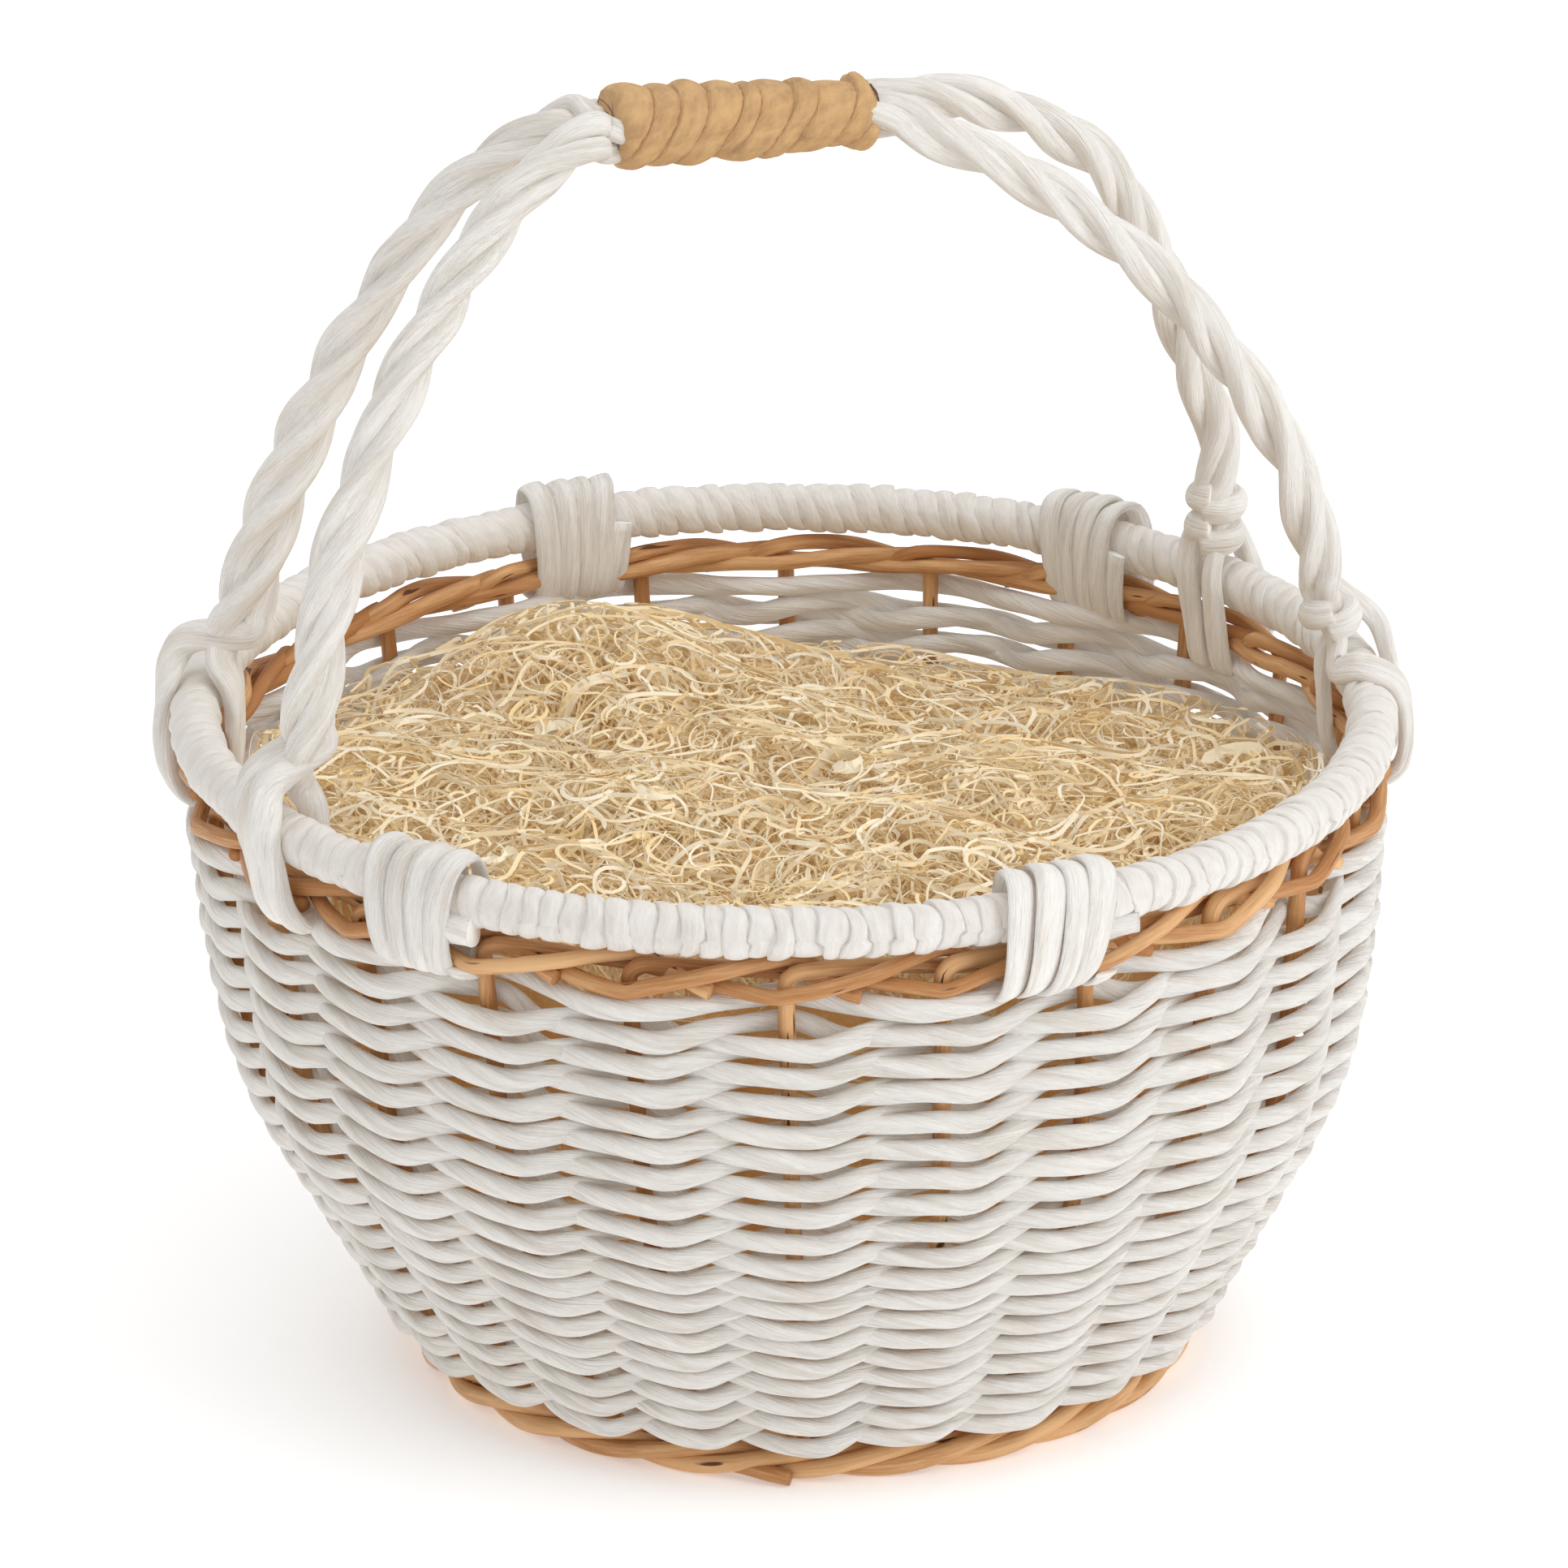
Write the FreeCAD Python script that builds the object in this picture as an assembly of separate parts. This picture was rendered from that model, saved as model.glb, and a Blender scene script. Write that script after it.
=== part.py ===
import FreeCAD, Part
import math
import os

# Round gift basket: a wall of twined paper rope on willow stakes, a wrapped rim hoop,
# a two-rope carrying handle with a kraft paper grip, and a loose filling of wood wool.
# Millimetres. Origin: middle of the footprint, on the ground. +Z is up, X runs along the handle.

# Rim hoop
RIM_RADIUS = 159.0          # centre of the hoop's rod
RIM_HEIGHT = 180.5
RIM_CORE_RADIUS = 4.5
RIM_WRAP_RADIUS = 6.5       # outside of the paper ribbon
RIM_WRAP_GAP = 0.15         # between the rod and the ribbon

# Stakes and the border that their bent-down ends make
STAKE_COUNT = 24
STAKE_RADIUS = 2.3
STAKE_PHASE = 9.25          # degrees from +X to the first stake
STAKE_START = 97.0          # inner end, beside the base
STAKE_FLOOR = 13.0          # height of the flat inner end
WALL_LOW = (106.9, 13.0)    # corners of the stake's path, radius and height
WALL_SHOULDER = (149.9, 92.2)
WALL_TOP = (157.4, 163.2)
WALL_LOW_BEND = 6.0
WALL_SHOULDER_BEND = 112.0
BORDER_BEND = 3.0
BORDER_RUN_ANGLE = 26.0     # how far each bent-down end runs round the basket, degrees
BORDER_RUN_STEPS = 4
BORDER_RISE = 4.8           # rise per stake spacing, so that each end lies on the next

# Weave rows: one strand outside the stakes and one inside
ROW_COUNT = 18
ROW_PITCH = 8.4
ROW_FIRST = 5.6             # from the stake's low bend to the first row, along the wall
STRAND_RADIUS = 3.2
STRAND_GAP = 0.3            # between a strand and the stakes
TOP_STRAND_RADIUS = 2.3
TOP_STRAND_HEIGHT = 158.9
TOP_STRAND_BEDDING = 0.5    # how far it lies in towards the stakes' bend
TOP_STRAND_NOTCH = (20.0, 10.0)     # depth and height of what a lashing's width takes out

# Lashings that tie the hoop to the border, each four turns of paper rope
LASHING_ANGLES = {
    "lashing_front_left": 211.75,
    "lashing_front_right": 271.75,
    "lashing_back_left": 91.75,
    "lashing_back_right": 31.75,
}
LASHING_TURNS = 4
LOOP_RADIUS = 2.4           # radius of the rope in a turn
LOOP_PITCH = 5.0
LOOP_GAP = 0.15             # between a turn and the hoop's ribbon
LOOP_FLOOR = 158.85         # height of the turn where it passes under the border
LOOP_CORNER = 2.6

# Handle: two ropes, each from one side of the rim to the other, side by side in the grip
ROPE_RADIUS = 8.0
ROPE_GRIP_RADIUS = 6.2      # squeezed inside the paper wrap
ROPE_ANGLES = {
    "handle_rope_front": (192.0, -12.0),
    "handle_rope_back": (156.3, 21.2),
}
ROPE_TURNS = 2
ROPE_END_HEIGHT = 188.3     # underside of a leg, just over the rim
GRIP_X = (-47.0, 29.0)
GRIP_Y = 12.0
GRIP_HEIGHT = 345.0
GRIP_ROPE_OFFSET = 6.3      # each rope's centre from the grip's middle
GRIP_OVERHANG = 3.0         # rope past the paper at each end
GRIP_PAPER = 1.3
GRIP_PAPER_GAP = 0.15
LEG_SHOULDER_HEIGHTS = (284.0, 296.0)
LEG_CROWN_BENDS = (38.0, 38.0)
LEG_SIDE_BENDS = (168.0, 140.0)
LEG_CROWN_RUN = 14.0        # from the grip's end to the crown corner
LEG_SQUEEZED_RUN = 6.0

# Paths made of straight runs and arcs
SHORTEST_RUN = 0.01         # straight run that is left between two arcs
SHORTEST_EDGE = 0.001       # a run under this length is left out

# Base: a cross of sticks, opened out into spokes, with woven rings over and under it
STICK_RADIUS = 2.5
STICK_HEIGHTS = (8.0, 13.2)
STICK_SPACING = 5.4
STICK_STRAIGHT = 16.0
STICK_REACH = 93.0
STICK_FAN = 30.0            # degrees between neighbouring spokes
BASE_WEAVER_RADIUS = 2.2
BASE_WEAVER_HEIGHTS = (3.1, 18.1)
BASE_RING_RADII = [26.0 + 5.0 * step for step in range(14)]

# Foot: three willow rods round the edge of the base, worn flat underneath
FOOT_ROD_RADIUS = 3.0
FOOT_RODS = [(108.1, 2.6), (101.9, 2.6), (105.0, 7.75)]

# Wood wool filling
FILL_FLOOR = 21.5
FILL_WALL_GAP = 12.5        # from the stakes' centres to the filling
FILL_TOP = 167.0            # crown of the dome
FILL_EDGE = 155.0           # where the dome meets the wall


def point(radius, angle, height):
    """A point at a radius, an angle in degrees round the basket, and a height."""
    turn = math.radians(angle)
    return FreeCAD.Vector(radius * math.cos(turn), radius * math.sin(turn), height)


def turned(shape, angle):
    """A copy of the shape, turned round the basket's axis."""
    copy = shape.copy()
    copy.rotate(FreeCAD.Vector(0, 0, 0), FreeCAD.Vector(0, 0, 1), angle)
    return copy


def rounded_path(corners, bends, closed=False):
    """Straight runs through the corners, with a tangent arc of the given radius at each one.

    An open path has a bend for every corner between its ends. A closed one has one for each.
    """
    count = len(corners)
    bent = range(count) if closed else range(1, count - 1)
    trims = {}
    for index, bend in zip(bent, bends):
        corner = corners[index]
        back = (corners[index - 1] - corner).normalize()
        ahead = (corners[(index + 1) % count] - corner).normalize()
        half_turn = (math.pi - back.getAngle(ahead)) / 2
        reach = bend * math.tan(half_turn)
        middle = (back + ahead).normalize() * (bend / math.cos(half_turn) - bend)
        trims[index] = (corner + back * reach, corner + middle, corner + ahead * reach)
    edges = []
    for index in range(count if closed else count - 1):
        after = (index + 1) % count
        start = trims[index][2] if index in trims else corners[index]
        end = trims[after][0] if after in trims else corners[after]
        if (end - start).Length > SHORTEST_EDGE:
            edges.append(Part.LineSegment(start, end).toShape())
        if after in trims:
            edges.append(Part.Arc(*trims[after]).toShape())
    return Part.Wire(edges)


def rod(path, radius):
    """A round rod of one radius along a path."""
    first = path.OrderedEdges[0]
    start = first.valueAt(first.FirstParameter)
    heading = first.tangentAt(first.FirstParameter)
    section = Part.Face(Part.Wire(Part.makeCircle(radius, start, heading)))
    return path.makePipe(section)


def ring(radius, height, thickness):
    """A rod of the given thickness, closed into a level hoop."""
    return Part.makeTorus(radius, thickness, FreeCAD.Vector(0, 0, height))


def wall_corners(offset):
    """Corners of the wall's line in the XZ plane, moved inwards by an offset."""
    corners = [WALL_LOW, WALL_SHOULDER, WALL_TOP]
    low, shoulder, top = [FreeCAD.Vector(radius, 0, height) for radius, height in corners]
    cone = (shoulder - low).normalize()
    side = (top - shoulder).normalize()
    cone_in = FreeCAD.Vector(-cone.z, 0, cone.x)
    side_in = FreeCAD.Vector(-side.z, 0, side.x)
    middle = (cone_in + side_in).normalize()
    stretch = offset / middle.dot(cone_in)
    return low + cone_in * offset, shoulder + middle * stretch, top + side_in * offset


def wall_place(distance):
    """Where the stake's centre is at a distance up the wall, and which way is inwards."""
    low, shoulder, top = wall_corners(0)
    path = rounded_path([low, shoulder, top], [WALL_SHOULDER_BEND])
    for edge in path.OrderedEdges:
        if distance <= edge.Length:
            parameter = edge.getParameterByLength(distance)
            heading = edge.tangentAt(parameter)
            return edge.valueAt(parameter), FreeCAD.Vector(-heading.z, 0, heading.x)
        distance -= edge.Length
    raise ValueError("a row lies above the wall")


def make_stake(angle):
    """One stake: flat beside the base, up the wall, then bent down along the border."""
    low, shoulder, top = wall_corners(0)
    corners = [FreeCAD.Vector(STAKE_START, 0, STAKE_FLOOR), low, shoulder, top]
    spacing = 360.0 / STAKE_COUNT
    for step in range(1, BORDER_RUN_STEPS + 1):
        along = BORDER_RUN_ANGLE * step / BORDER_RUN_STEPS
        corners.append(point(top.x, along, top.z + BORDER_RISE * along / spacing))
    run_bends = [BORDER_BEND] + [RIM_RADIUS] * (BORDER_RUN_STEPS - 1)
    path = rounded_path(corners, [WALL_LOW_BEND, WALL_SHOULDER_BEND] + run_bends)
    return turned(rod(path, STAKE_RADIUS), angle)


def make_row(index):
    """One row of the weave: the strand outside the stakes and the strand inside them."""
    centre, inwards = wall_place(ROW_FIRST + ROW_PITCH * index)
    offset = inwards * (STAKE_RADIUS + STRAND_GAP + STRAND_RADIUS)
    outer = centre - offset
    inner = centre + offset
    return [ring(outer.x, outer.z, STRAND_RADIUS), ring(inner.x, inner.z, STRAND_RADIUS)]


def make_turns(angle, count):
    """Turns of rope round the hoop and the border, side by side, at an angle on the rim."""
    reach = RIM_WRAP_RADIUS + LOOP_GAP + LOOP_RADIUS
    turns = []
    for index in range(count):
        along = (index - (count - 1) / 2) * LOOP_PITCH
        corners = []
        for side, height in ((-1, LOOP_FLOOR), (1, LOOP_FLOOR), (1, None), (-1, None)):
            top = RIM_HEIGHT + reach if height is None else height
            corners.append(FreeCAD.Vector(RIM_RADIUS + side * reach, 0, top))
        top_bend = reach - SHORTEST_RUN
        bends = [LOOP_CORNER, LOOP_CORNER, top_bend, top_bend]
        turn = rod(rounded_path(corners, bends, closed=True), LOOP_RADIUS)
        turns.append(turned(turn, angle + math.degrees(along / RIM_RADIUS)))
    return turns


def make_top_strand():
    """The single strand under the border, left out where a lashing squeezes it flat."""
    centre = WALL_TOP[0] + STAKE_RADIUS + STRAND_GAP + TOP_STRAND_RADIUS - TOP_STRAND_BEDDING
    depth, tall = TOP_STRAND_NOTCH
    strand = ring(centre, TOP_STRAND_HEIGHT, TOP_STRAND_RADIUS)
    places = [(angle, LASHING_TURNS) for angle in LASHING_ANGLES.values()]
    for ends in ROPE_ANGLES.values():
        places += [(angle, ROPE_TURNS) for angle in ends]
    for angle, count in places:
        width = (count + 1) * LOOP_PITCH
        corner = FreeCAD.Vector(centre - depth / 2, -width / 2, TOP_STRAND_HEIGHT - tall / 2)
        notch = Part.makeBox(depth, width, tall, corner)
        strand = strand.cut(turned(notch, angle))
    return strand


def make_handle_rope(angles, side_of_grip):
    """One rope of the handle: two legs, the squeezed length in the grip, and its turns."""
    across = GRIP_Y + side_of_grip * GRIP_ROPE_OFFSET
    left = FreeCAD.Vector(GRIP_X[0] - GRIP_OVERHANG, across, GRIP_HEIGHT)
    right = FreeCAD.Vector(GRIP_X[1] + GRIP_OVERHANG, across, GRIP_HEIGHT)
    squeezed = Part.makeCylinder(ROPE_GRIP_RADIUS, (right - left).Length, left, right - left)
    pieces = [squeezed]
    for side, (end, angle) in enumerate(zip((left, right), angles)):
        pieces.append(Part.makeSphere(ROPE_GRIP_RADIUS, end))
        foot = point(RIM_RADIUS, angle, ROPE_END_HEIGHT)
        level = FreeCAD.Vector(foot.x - end.x, foot.y - end.y, 0).normalize()
        pieces.append(Part.makeCylinder(ROPE_GRIP_RADIUS, LEG_SQUEEZED_RUN, end, level))
        crown = end + level * (LEG_SQUEEZED_RUN + LEG_CROWN_RUN)
        shoulder = FreeCAD.Vector(foot.x, foot.y, LEG_SHOULDER_HEIGHTS[side])
        bends = [LEG_CROWN_BENDS[side], LEG_SIDE_BENDS[side]]
        path = rounded_path([end + level * LEG_SQUEEZED_RUN, crown, shoulder, foot], bends)
        pieces.append(rod(path, ROPE_RADIUS))
        pieces += make_turns(angle, ROPE_TURNS)
    return pieces[0].multiFuse(pieces[1:])


def grip_section(clearance):
    """The grip's cross-section as a long round-ended prism, with a clearance round the ropes."""
    radius = ROPE_GRIP_RADIUS + clearance
    length = GRIP_X[1] - GRIP_X[0]
    start = FreeCAD.Vector(GRIP_X[0], GRIP_Y, GRIP_HEIGHT)
    along = FreeCAD.Vector(1, 0, 0)
    corner = start + FreeCAD.Vector(0, -GRIP_ROPE_OFFSET, -radius)
    block = Part.makeBox(length, 2 * GRIP_ROPE_OFFSET, 2 * radius, corner)
    ends = []
    for side in (-1, 1):
        centre = start + FreeCAD.Vector(0, side * GRIP_ROPE_OFFSET, 0)
        ends.append(Part.makeCylinder(radius, length, centre, along))
    return block.multiFuse(ends)


def make_grip_wrap():
    """The paper wound round both ropes in the middle of the handle."""
    outside = grip_section(GRIP_PAPER_GAP + GRIP_PAPER)
    return outside.cut(grip_section(GRIP_PAPER_GAP))


def make_sticks(height, turn):
    """Three sticks of the base, side by side in the middle and fanned out at both ends."""
    sticks = []
    for row in (-1, 0, 1):
        fan = math.radians(STICK_FAN) * row
        across = STICK_SPACING * row
        run = STICK_REACH - STICK_STRAIGHT
        knee = FreeCAD.Vector(STICK_STRAIGHT, across, height)
        tip = knee + FreeCAD.Vector(run * math.cos(fan), run * math.sin(fan), 0)
        corners = [tip, knee, FreeCAD.Vector(-knee.x, knee.y, height), FreeCAD.Vector(-tip.x, tip.y, height)]
        if row == 0:
            path = Part.Wire(Part.LineSegment(corners[0], corners[3]).toShape())
        else:
            path = rounded_path(corners, [STICK_STRAIGHT, STICK_STRAIGHT])
        sticks.append(turned(rod(path, STICK_RADIUS), turn))
    return sticks


def make_base_weave(height):
    """The woven rings on one face of the base."""
    return [ring(radius, height, BASE_WEAVER_RADIUS) for radius in BASE_RING_RADII]


def make_foot():
    """The rods under the basket's edge, with flats where they stand on the ground."""
    span = 3 * RIM_RADIUS
    ground = Part.makeBox(span, span, span, FreeCAD.Vector(-span / 2, -span / 2, -span))
    return [ring(radius, height, FOOT_ROD_RADIUS).cut(ground) for radius, height in FOOT_RODS]


def make_wood_wool():
    """The filling's outer shape: the room inside the wall, under a low dome."""
    low, shoulder, top = wall_corners(FILL_WALL_GAP)
    cone = (shoulder - low).normalize()
    side = (top - shoulder).normalize()
    low_edge = low + cone * ((FILL_FLOOR - low.z) / cone.z)
    high_edge = shoulder + side * ((FILL_EDGE - shoulder.z) / side.z)
    wall = rounded_path([low_edge, shoulder, high_edge], [WALL_SHOULDER_BEND - FILL_WALL_GAP])
    crown = FreeCAD.Vector(0, 0, FILL_TOP)
    fall = FILL_TOP - FILL_EDGE
    dome_radius = (high_edge.x ** 2 + fall ** 2) / (2 * fall)
    spread = math.asin(high_edge.x / dome_radius) / 2
    middle = crown + FreeCAD.Vector(math.sin(spread), 0, math.cos(spread) - 1) * dome_radius
    dome = Part.Arc(high_edge, middle, crown).toShape()
    closing = Part.makePolygon([crown, FreeCAD.Vector(0, 0, FILL_FLOOR), low_edge])
    outline = Part.Wire(wall.OrderedEdges + [dome] + closing.Edges)
    return Part.Face(outline).revolve(FreeCAD.Vector(0, 0, 0), FreeCAD.Vector(0, 0, 1), 360)


def save(name, pieces):
    """Write one sub-part, which may be several separate pieces of the same kind."""
    pieces = pieces if isinstance(pieces, list) else [pieces]
    shape = pieces[0] if len(pieces) == 1 else Part.makeCompound(pieces)
    if not shape.isValid() or min(solid.Volume for solid in shape.Solids) <= 0:
        raise ValueError(f"{name} isn't a sound solid")
    shape.exportStep(f"parts/{name}.step")
    print(f"{name}: {len(shape.Solids)} solids, {shape.Volume / 1000:.1f} cm3")


os.makedirs("parts", exist_ok=True)

save("base_sticks_lower", make_sticks(STICK_HEIGHTS[0], 0))
save("base_sticks_upper", make_sticks(STICK_HEIGHTS[1], 90))
save("base_weave_under", make_base_weave(BASE_WEAVER_HEIGHTS[0]))
save("base_weave_over", make_base_weave(BASE_WEAVER_HEIGHTS[1]))
save("foot_ring", make_foot())
for number in range(STAKE_COUNT):
    save(f"stake_{number + 1:02d}", make_stake(STAKE_PHASE + 360.0 * number / STAKE_COUNT))
for number in range(ROW_COUNT):
    save(f"weave_row_{number + 1:02d}", make_row(number))
save("weave_top_strand", make_top_strand())
hoop = ring(RIM_RADIUS, RIM_HEIGHT, RIM_WRAP_RADIUS)
save("rim_hoop", ring(RIM_RADIUS, RIM_HEIGHT, RIM_CORE_RADIUS))
save("rim_wrap", hoop.cut(ring(RIM_RADIUS, RIM_HEIGHT, RIM_CORE_RADIUS + RIM_WRAP_GAP)))
for name, angle in LASHING_ANGLES.items():
    save(name, make_turns(angle, LASHING_TURNS))
for side, (name, angles) in zip((-1, 1), ROPE_ANGLES.items()):
    save(name, make_handle_rope(angles, side))
save("grip_wrap", make_grip_wrap())
save("wood_wool", make_wood_wool())
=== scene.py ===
import math

import bpy
import numpy as np
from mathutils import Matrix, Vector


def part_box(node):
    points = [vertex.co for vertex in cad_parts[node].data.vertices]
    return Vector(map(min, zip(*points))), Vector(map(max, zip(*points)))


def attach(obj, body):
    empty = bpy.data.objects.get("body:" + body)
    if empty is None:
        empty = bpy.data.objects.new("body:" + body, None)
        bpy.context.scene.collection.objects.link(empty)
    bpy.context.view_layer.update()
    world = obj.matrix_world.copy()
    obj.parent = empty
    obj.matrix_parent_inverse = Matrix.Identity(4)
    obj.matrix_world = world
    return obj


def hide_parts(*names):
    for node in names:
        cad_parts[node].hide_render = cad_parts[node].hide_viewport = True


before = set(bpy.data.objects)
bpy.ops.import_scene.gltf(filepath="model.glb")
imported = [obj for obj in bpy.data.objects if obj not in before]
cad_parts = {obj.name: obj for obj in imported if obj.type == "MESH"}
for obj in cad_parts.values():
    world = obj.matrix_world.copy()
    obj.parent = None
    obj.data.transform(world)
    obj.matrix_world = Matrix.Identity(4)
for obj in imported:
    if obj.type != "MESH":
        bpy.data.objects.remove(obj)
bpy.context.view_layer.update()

MM = 0.001


# ---- Base ----
# The basket stands on a round of woven willow. Six sticks cross in the middle, three over
# three, and open out into twelve spokes, and thin rods are woven over and under them.

WILLOW_LIGHT = (0.78, 0.47, 0.225, 1.0)
WILLOW_DARK = (0.46, 0.20, 0.068, 1.0)
WILLOW_KNOT = (0.11, 0.04, 0.014, 1.0)
BASE_ROD_RADIUS = 2.3 * MM
STICK_SPACING = 5.4 * MM
STICK_CROSSING = 14 * MM    # from the middle to where a stick leaves the others
STICK_STRAIGHT = 16 * MM    # from the middle to where a stick begins to fan out
STICK_FAN = 30              # degrees between neighbouring spokes
SPOKES = 12
BASE_ROWS = 17
SINGLE_ROWS = 6             # rows round single spokes, before the stakes' ends lie between them
BASE_FIRST_ROW = 21 * MM
BASE_ROWS_PAST = 6 * MM     # how far the last row lies past the sticks' ends
BASE_WAVE = 2.7 * MM
BASE_POINTS = 240
LEAN = np.array([0.0048, -0.0018])      # the hand-made body stands a little off the rim's middle
RIM_LEVEL = (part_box("rim_wrap")[0].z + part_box("rim_wrap")[1].z) / 2
chance = np.random.default_rng(7)


def around(radius, angle, height):
    """Points round the basket's axis. The angle is in degrees."""
    turn = np.radians(angle)
    parts = np.broadcast_arrays(radius * np.cos(turn), radius * np.sin(turn), height)
    return np.stack(parts, -1).astype(float)


def unit(vectors):
    """The same directions, each of length 1."""
    return vectors / np.linalg.norm(vectors, axis=-1, keepdims=True)


def wander(count, knots, closed=False):
    """A smooth random line of values between -1 and 1, with about one turn for each knot."""
    values = chance.uniform(-1, 1, knots + 3)
    if closed:
        values[-3:] = values[:3]
    spots = np.linspace(0, knots, count, endpoint=not closed)
    index = np.minimum(spots.astype(int), knots - 1)
    share = spots - index
    ease = share * share * (3 - 2 * share)
    return values[index] * (1 - ease) + values[index + 1] * ease


def smooth_path(points, step):
    """A smooth curve through the points, as evenly spaced points about a step apart."""
    points = np.asarray(points, float)
    ends = np.vstack([2 * points[0] - points[1], points, 2 * points[-1] - points[-2]])
    share = np.linspace(0, 1, 12, endpoint=False)[:, None]
    spans = []
    for before, start, end, after in zip(ends, ends[1:], ends[2:], ends[3:]):
        bend = 2 * before - 5 * start + 4 * end - after
        twist = 3 * start - before - 3 * end + after
        spans.append(start + 0.5 * share * ((end - before) + share * (bend + share * twist)))
    curve = np.vstack(spans + [points[-1:]])
    length = np.r_[0, np.cumsum(np.linalg.norm(np.diff(curve, axis=0), axis=1))]
    even = np.linspace(0, length[-1], max(3, int(length[-1] / step) + 1))
    return np.stack([np.interp(even, length, curve[:, axis]) for axis in range(3)], -1)


def steer(path, closed=False):
    """Which way a path heads at each point."""
    ahead = np.roll(path, -1, 0) - np.roll(path, 1, 0)
    if not closed:
        ahead[0] = path[1] - path[0]
        ahead[-1] = path[-1] - path[-2]
    return unit(ahead)


def carry(path):
    """A direction across the path, carried along it without twisting."""
    ahead = steer(path)
    across = np.empty_like(path)
    start = np.cross(ahead[0], (0.0, 0.0, 1.0))
    if np.linalg.norm(start) < 0.1:
        start = np.cross(ahead[0], (1.0, 0.0, 0.0))
    across[0] = unit(start)
    for index in range(1, len(path)):
        moved = across[index - 1] - ahead[index] * (across[index - 1] @ ahead[index])
        across[index] = moved / np.linalg.norm(moved)
    return across


def face_lay(shares, width, starts, stops, order=(0, 1, 2, 3)):
    """How far round and how far along its strand each corner of each face is."""
    corners = [(shares, starts), (shares + width, starts), (shares + width, stops), (shares, stops)]
    places = [np.stack(np.broadcast_arrays(*corners[spot]), -1) for spot in order]
    return np.stack(places, -2).reshape(-1, 2)


def strand(path, wide, thick, sides, guide=None, closed=False, shape=1.0):
    """A rod along a path as points, four-sided faces, end faces and its lay.

    The guide says which way its thickness goes. The shape scales each point of each ring.
    """
    ahead = steer(path, closed)
    guide = carry(path) if guide is None else guide
    up = unit(guide - ahead * np.sum(guide * ahead, -1, keepdims=True))
    side = np.cross(ahead, up)
    turn = np.linspace(0, 2 * math.pi, sides, endpoint=False)
    wide = np.broadcast_to(wide, len(path))[:, None, None]
    thick = np.broadcast_to(thick, len(path))[:, None, None]
    rings = side[:, None] * np.cos(turn)[:, None] * wide + up[:, None] * np.sin(turn)[:, None] * thick
    rings = path[:, None] + rings * np.broadcast_to(shape, rings.shape[:2])[..., None]
    spans = len(path) if closed else len(path) - 1
    first = np.arange(spans)[:, None] * sides
    last = (np.arange(1, spans + 1) % len(path))[:, None] * sides
    near = np.arange(sides)[None]
    far = (near + 1) % sides
    quads = np.stack([first + near, first + far, last + far, last + near], -1).reshape(-1, 4)
    steps = np.linalg.norm(np.roll(path, -1, 0) - path, axis=1)
    length = np.r_[0, np.cumsum(steps)][:spans + 1]
    lay = face_lay(near / sides, 1 / sides, length[:-1, None], length[1:, None])
    caps = []
    if not closed:
        caps = [list(range(sides))[::-1], [spans * sides + spot for spot in range(sides)]]
    return rings.reshape(-1, 3), quads, caps, lay


def build(name, strands, material, body, slot, *nodes):
    """One piece from its strands, each with a tone of its own, riding on a body."""
    points, faces, lays, tones = [], [], [], []
    start = 0
    for rings, quads, caps, lay in strands:
        points.append(rings)
        faces += (quads + start).tolist()
        lays.append(lay)
        tones.append(np.full(len(rings), chance.random()))
        start += len(rings)
    start = 0
    for rings, quads, caps, lay in strands:
        for cap in caps:
            faces.append([start + spot for spot in cap])
            lays.append(np.tile(lay[0], (len(cap), 1)))
        start += len(rings)
    points = np.vstack(points)
    drop = np.clip(1 - points[:, 2:] / RIM_LEVEL, 0, 1)
    points[:, :2] += LEAN * drop
    mesh = bpy.data.meshes.new(name)
    mesh.from_pydata(points.tolist(), [], faces)
    layer = mesh.uv_layers.new(name="lay")
    layer.data.foreach_set("uv", np.vstack(lays).ravel())
    tone = mesh.attributes.new("tone", "FLOAT", "POINT")
    tone.data.foreach_set("value", np.concatenate(tones))
    if body == "basket":
        mesh.shade_smooth()
    mesh.materials.append(material)
    piece = bpy.data.objects.new(name, mesh)
    bpy.context.scene.collection.objects.link(piece)
    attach(piece, body)
    if nodes:
        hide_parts(*nodes)
    return piece


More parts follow.
